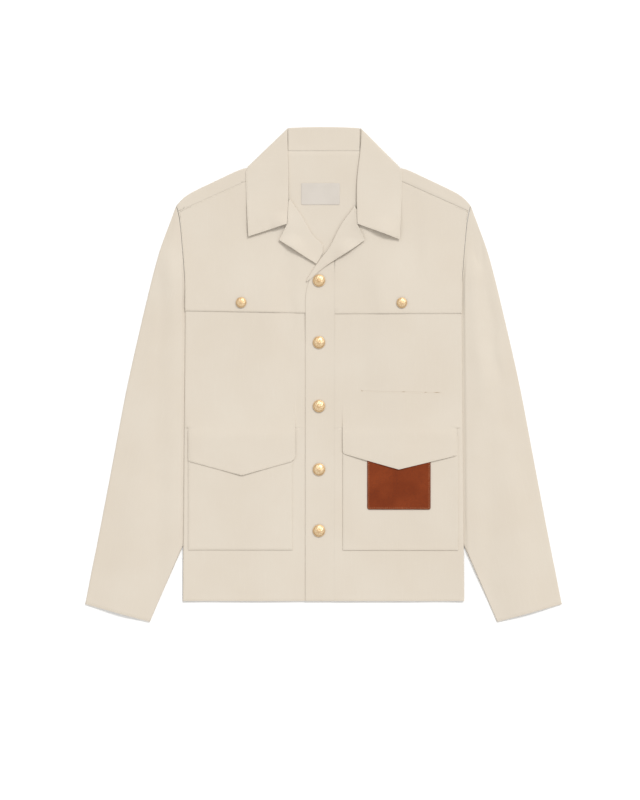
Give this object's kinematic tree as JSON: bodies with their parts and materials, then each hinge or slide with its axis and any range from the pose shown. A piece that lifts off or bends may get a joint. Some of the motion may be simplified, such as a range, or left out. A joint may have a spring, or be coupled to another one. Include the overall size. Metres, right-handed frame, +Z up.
{
  "type": "work jacket laid flat",
  "caption": "Straight-cut canvas work jacket laid flat and buttoned, with a notched collar, pointed pocket flaps, a leather patch and domed metal buttons.",
  "frame": {"origin": "centre of the jacket's footprint, on the surface it lies on", "axes": "+X to the wearer's left, +Y towards the collar, +Z up out of the front of the jacket"},
  "size_m": [0.762, 0.7893, 0.0142],
  "materials": {
    "jacket_cloth": "matt cream cotton canvas",
    "label_cloth": "smooth woven label",
    "patch_leather": "smooth tan leather",
    "button_brass": "polished, soft faceted relief"
  },
  "bodies": {
    "root": {"back": "jacket_cloth", "sleeve_right": "jacket_cloth", "sleeve_left": "jacket_cloth", "front_right": "jacket_cloth", "lower_front_right": "jacket_cloth", "lower_pocket_right": "jacket_cloth", "front_left": "jacket_cloth", "lower_front_left": "jacket_cloth", "lower_pocket_left": "jacket_cloth", "yoke_right": "jacket_cloth", "yoke_left": "jacket_cloth", "placket": "jacket_cloth", "lapel_right": "jacket_cloth", "lapel_left": "jacket_cloth", "collar_stand": "jacket_cloth", "collar": "jacket_cloth", "leather_patch": "patch_leather", "neck_label": "label_cloth", "button_1": "button_brass", "button_2": "button_brass", "button_3": "button_brass", "button_4": "button_brass", "button_5": "button_brass", "chest_button_right": "button_brass", "chest_button_left": "button_brass"}
  },
  "joints": []
}
